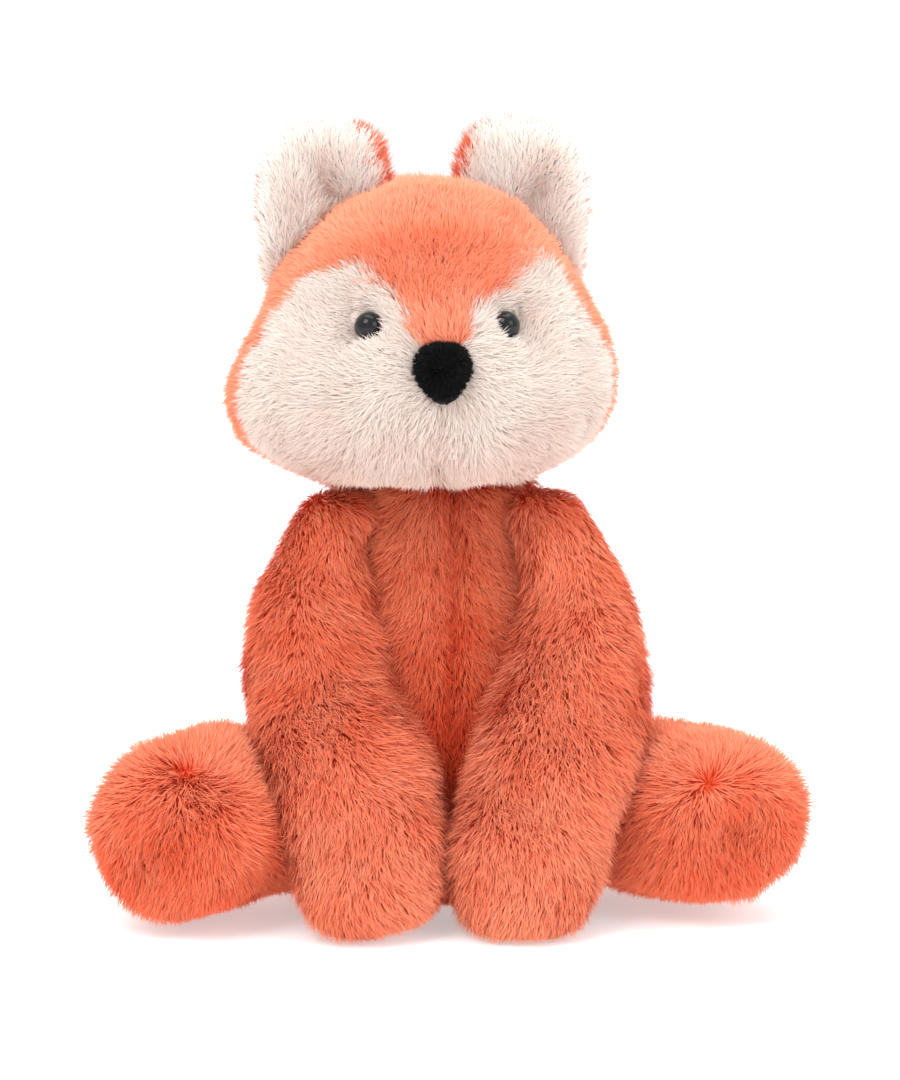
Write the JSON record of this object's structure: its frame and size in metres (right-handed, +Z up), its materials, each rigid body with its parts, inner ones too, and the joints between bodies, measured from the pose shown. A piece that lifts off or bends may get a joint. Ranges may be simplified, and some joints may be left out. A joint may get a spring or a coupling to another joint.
{
  "type": "plush fox",
  "caption": "Seated plush fox with a large cream-cheeked head, hanging arms, splayed legs, a tail, plastic eyes and a soft nose; head, arms, legs and tail turn on their seams.",
  "frame": {"origin": "middle of the flat seat under the torso, on the floor", "axes": "+Z up, -Y the way the fox faces, +X to the right as seen from its front"},
  "size_m": [0.2275, 0.2301, 0.254],
  "materials": {
    "orange_plush": "long soft pile, light at the tips",
    "belly_plush": "the same pile combed down and pressed, darker",
    "cream_plush": "long soft pile, cream",
    "nose_velvet": "short black plush",
    "eye_plastic": "polished black",
    "washer_nylon": "moulded",
    "stuffing_fibre": "loose polyester fibre",
    "bag_linen": "plain weave bag of pellets"
  },
  "bodies": {
    "torso": {"torso_front_left": "belly_plush", "torso_front_right": "belly_plush", "torso_back_left": "orange_plush", "torso_back_right": "orange_plush", "torso_seat": "orange_plush", "pellet_bag": "bag_linen", "torso_stuffing": "stuffing_fibre"},
    "head": {"head_crown": "orange_plush", "head_back_left": "orange_plush", "head_back_right": "orange_plush", "cheek_left": "cream_plush", "cheek_right": "cream_plush", "head_stuffing": "stuffing_fibre", "ear_left_outer": "orange_plush", "ear_left_inner": "cream_plush", "ear_right_outer": "orange_plush", "ear_right_inner": "cream_plush", "eye_left": "eye_plastic", "eye_right": "eye_plastic", "eye_washer_left": "washer_nylon", "eye_washer_right": "washer_nylon", "nose_cover": "nose_velvet", "nose_stuffing": "stuffing_fibre"},
    "arm_left": {"arm_left": "orange_plush", "arm_left_stuffing": "stuffing_fibre"},
    "arm_right": {"arm_right": "orange_plush", "arm_right_stuffing": "stuffing_fibre"},
    "leg_left": {"leg_left": "orange_plush", "leg_left_stuffing": "stuffing_fibre"},
    "leg_right": {"leg_right": "orange_plush", "leg_right_stuffing": "stuffing_fibre"},
    "tail": {"tail": "orange_plush", "tail_tip": "cream_plush", "tail_stuffing": "stuffing_fibre"}
  },
  "joints": [
    {"name": "head_turn", "type": "hinge", "parent": "torso", "child": "head", "pos_m": [-0.0085, -0.006, 0.138], "axis": [0, 0, 1], "range_deg": [-30, 30], "stiffness_Nm_per_rad": 0.03},
    {"name": "arm_left_swing", "type": "hinge", "parent": "torso", "child": "arm_left", "pos_m": [-0.0435, -0.014, 0.112], "axis": [-1, 0, 0], "range_deg": [0, 50]},
    {"name": "arm_right_swing", "type": "hinge", "parent": "torso", "child": "arm_right", "pos_m": [0.0375, -0.014, 0.112], "axis": [-1, 0, 0], "range_deg": [0, 50]},
    {"name": "leg_left_swing", "type": "hinge", "parent": "torso", "child": "leg_left", "pos_m": [-0.045, 0, 0.0375], "axis": [1, 0, 0], "range_deg": [0, 75]},
    {"name": "leg_right_swing", "type": "hinge", "parent": "torso", "child": "leg_right", "pos_m": [0.045, 0, 0.0375], "axis": [1, 0, 0], "range_deg": [0, 75]},
    {"name": "tail_wag", "type": "hinge", "parent": "torso", "child": "tail", "pos_m": [0, 0.042, 0.026], "axis": [0, 0, 1], "range_deg": [-30, 30]}
  ]
}
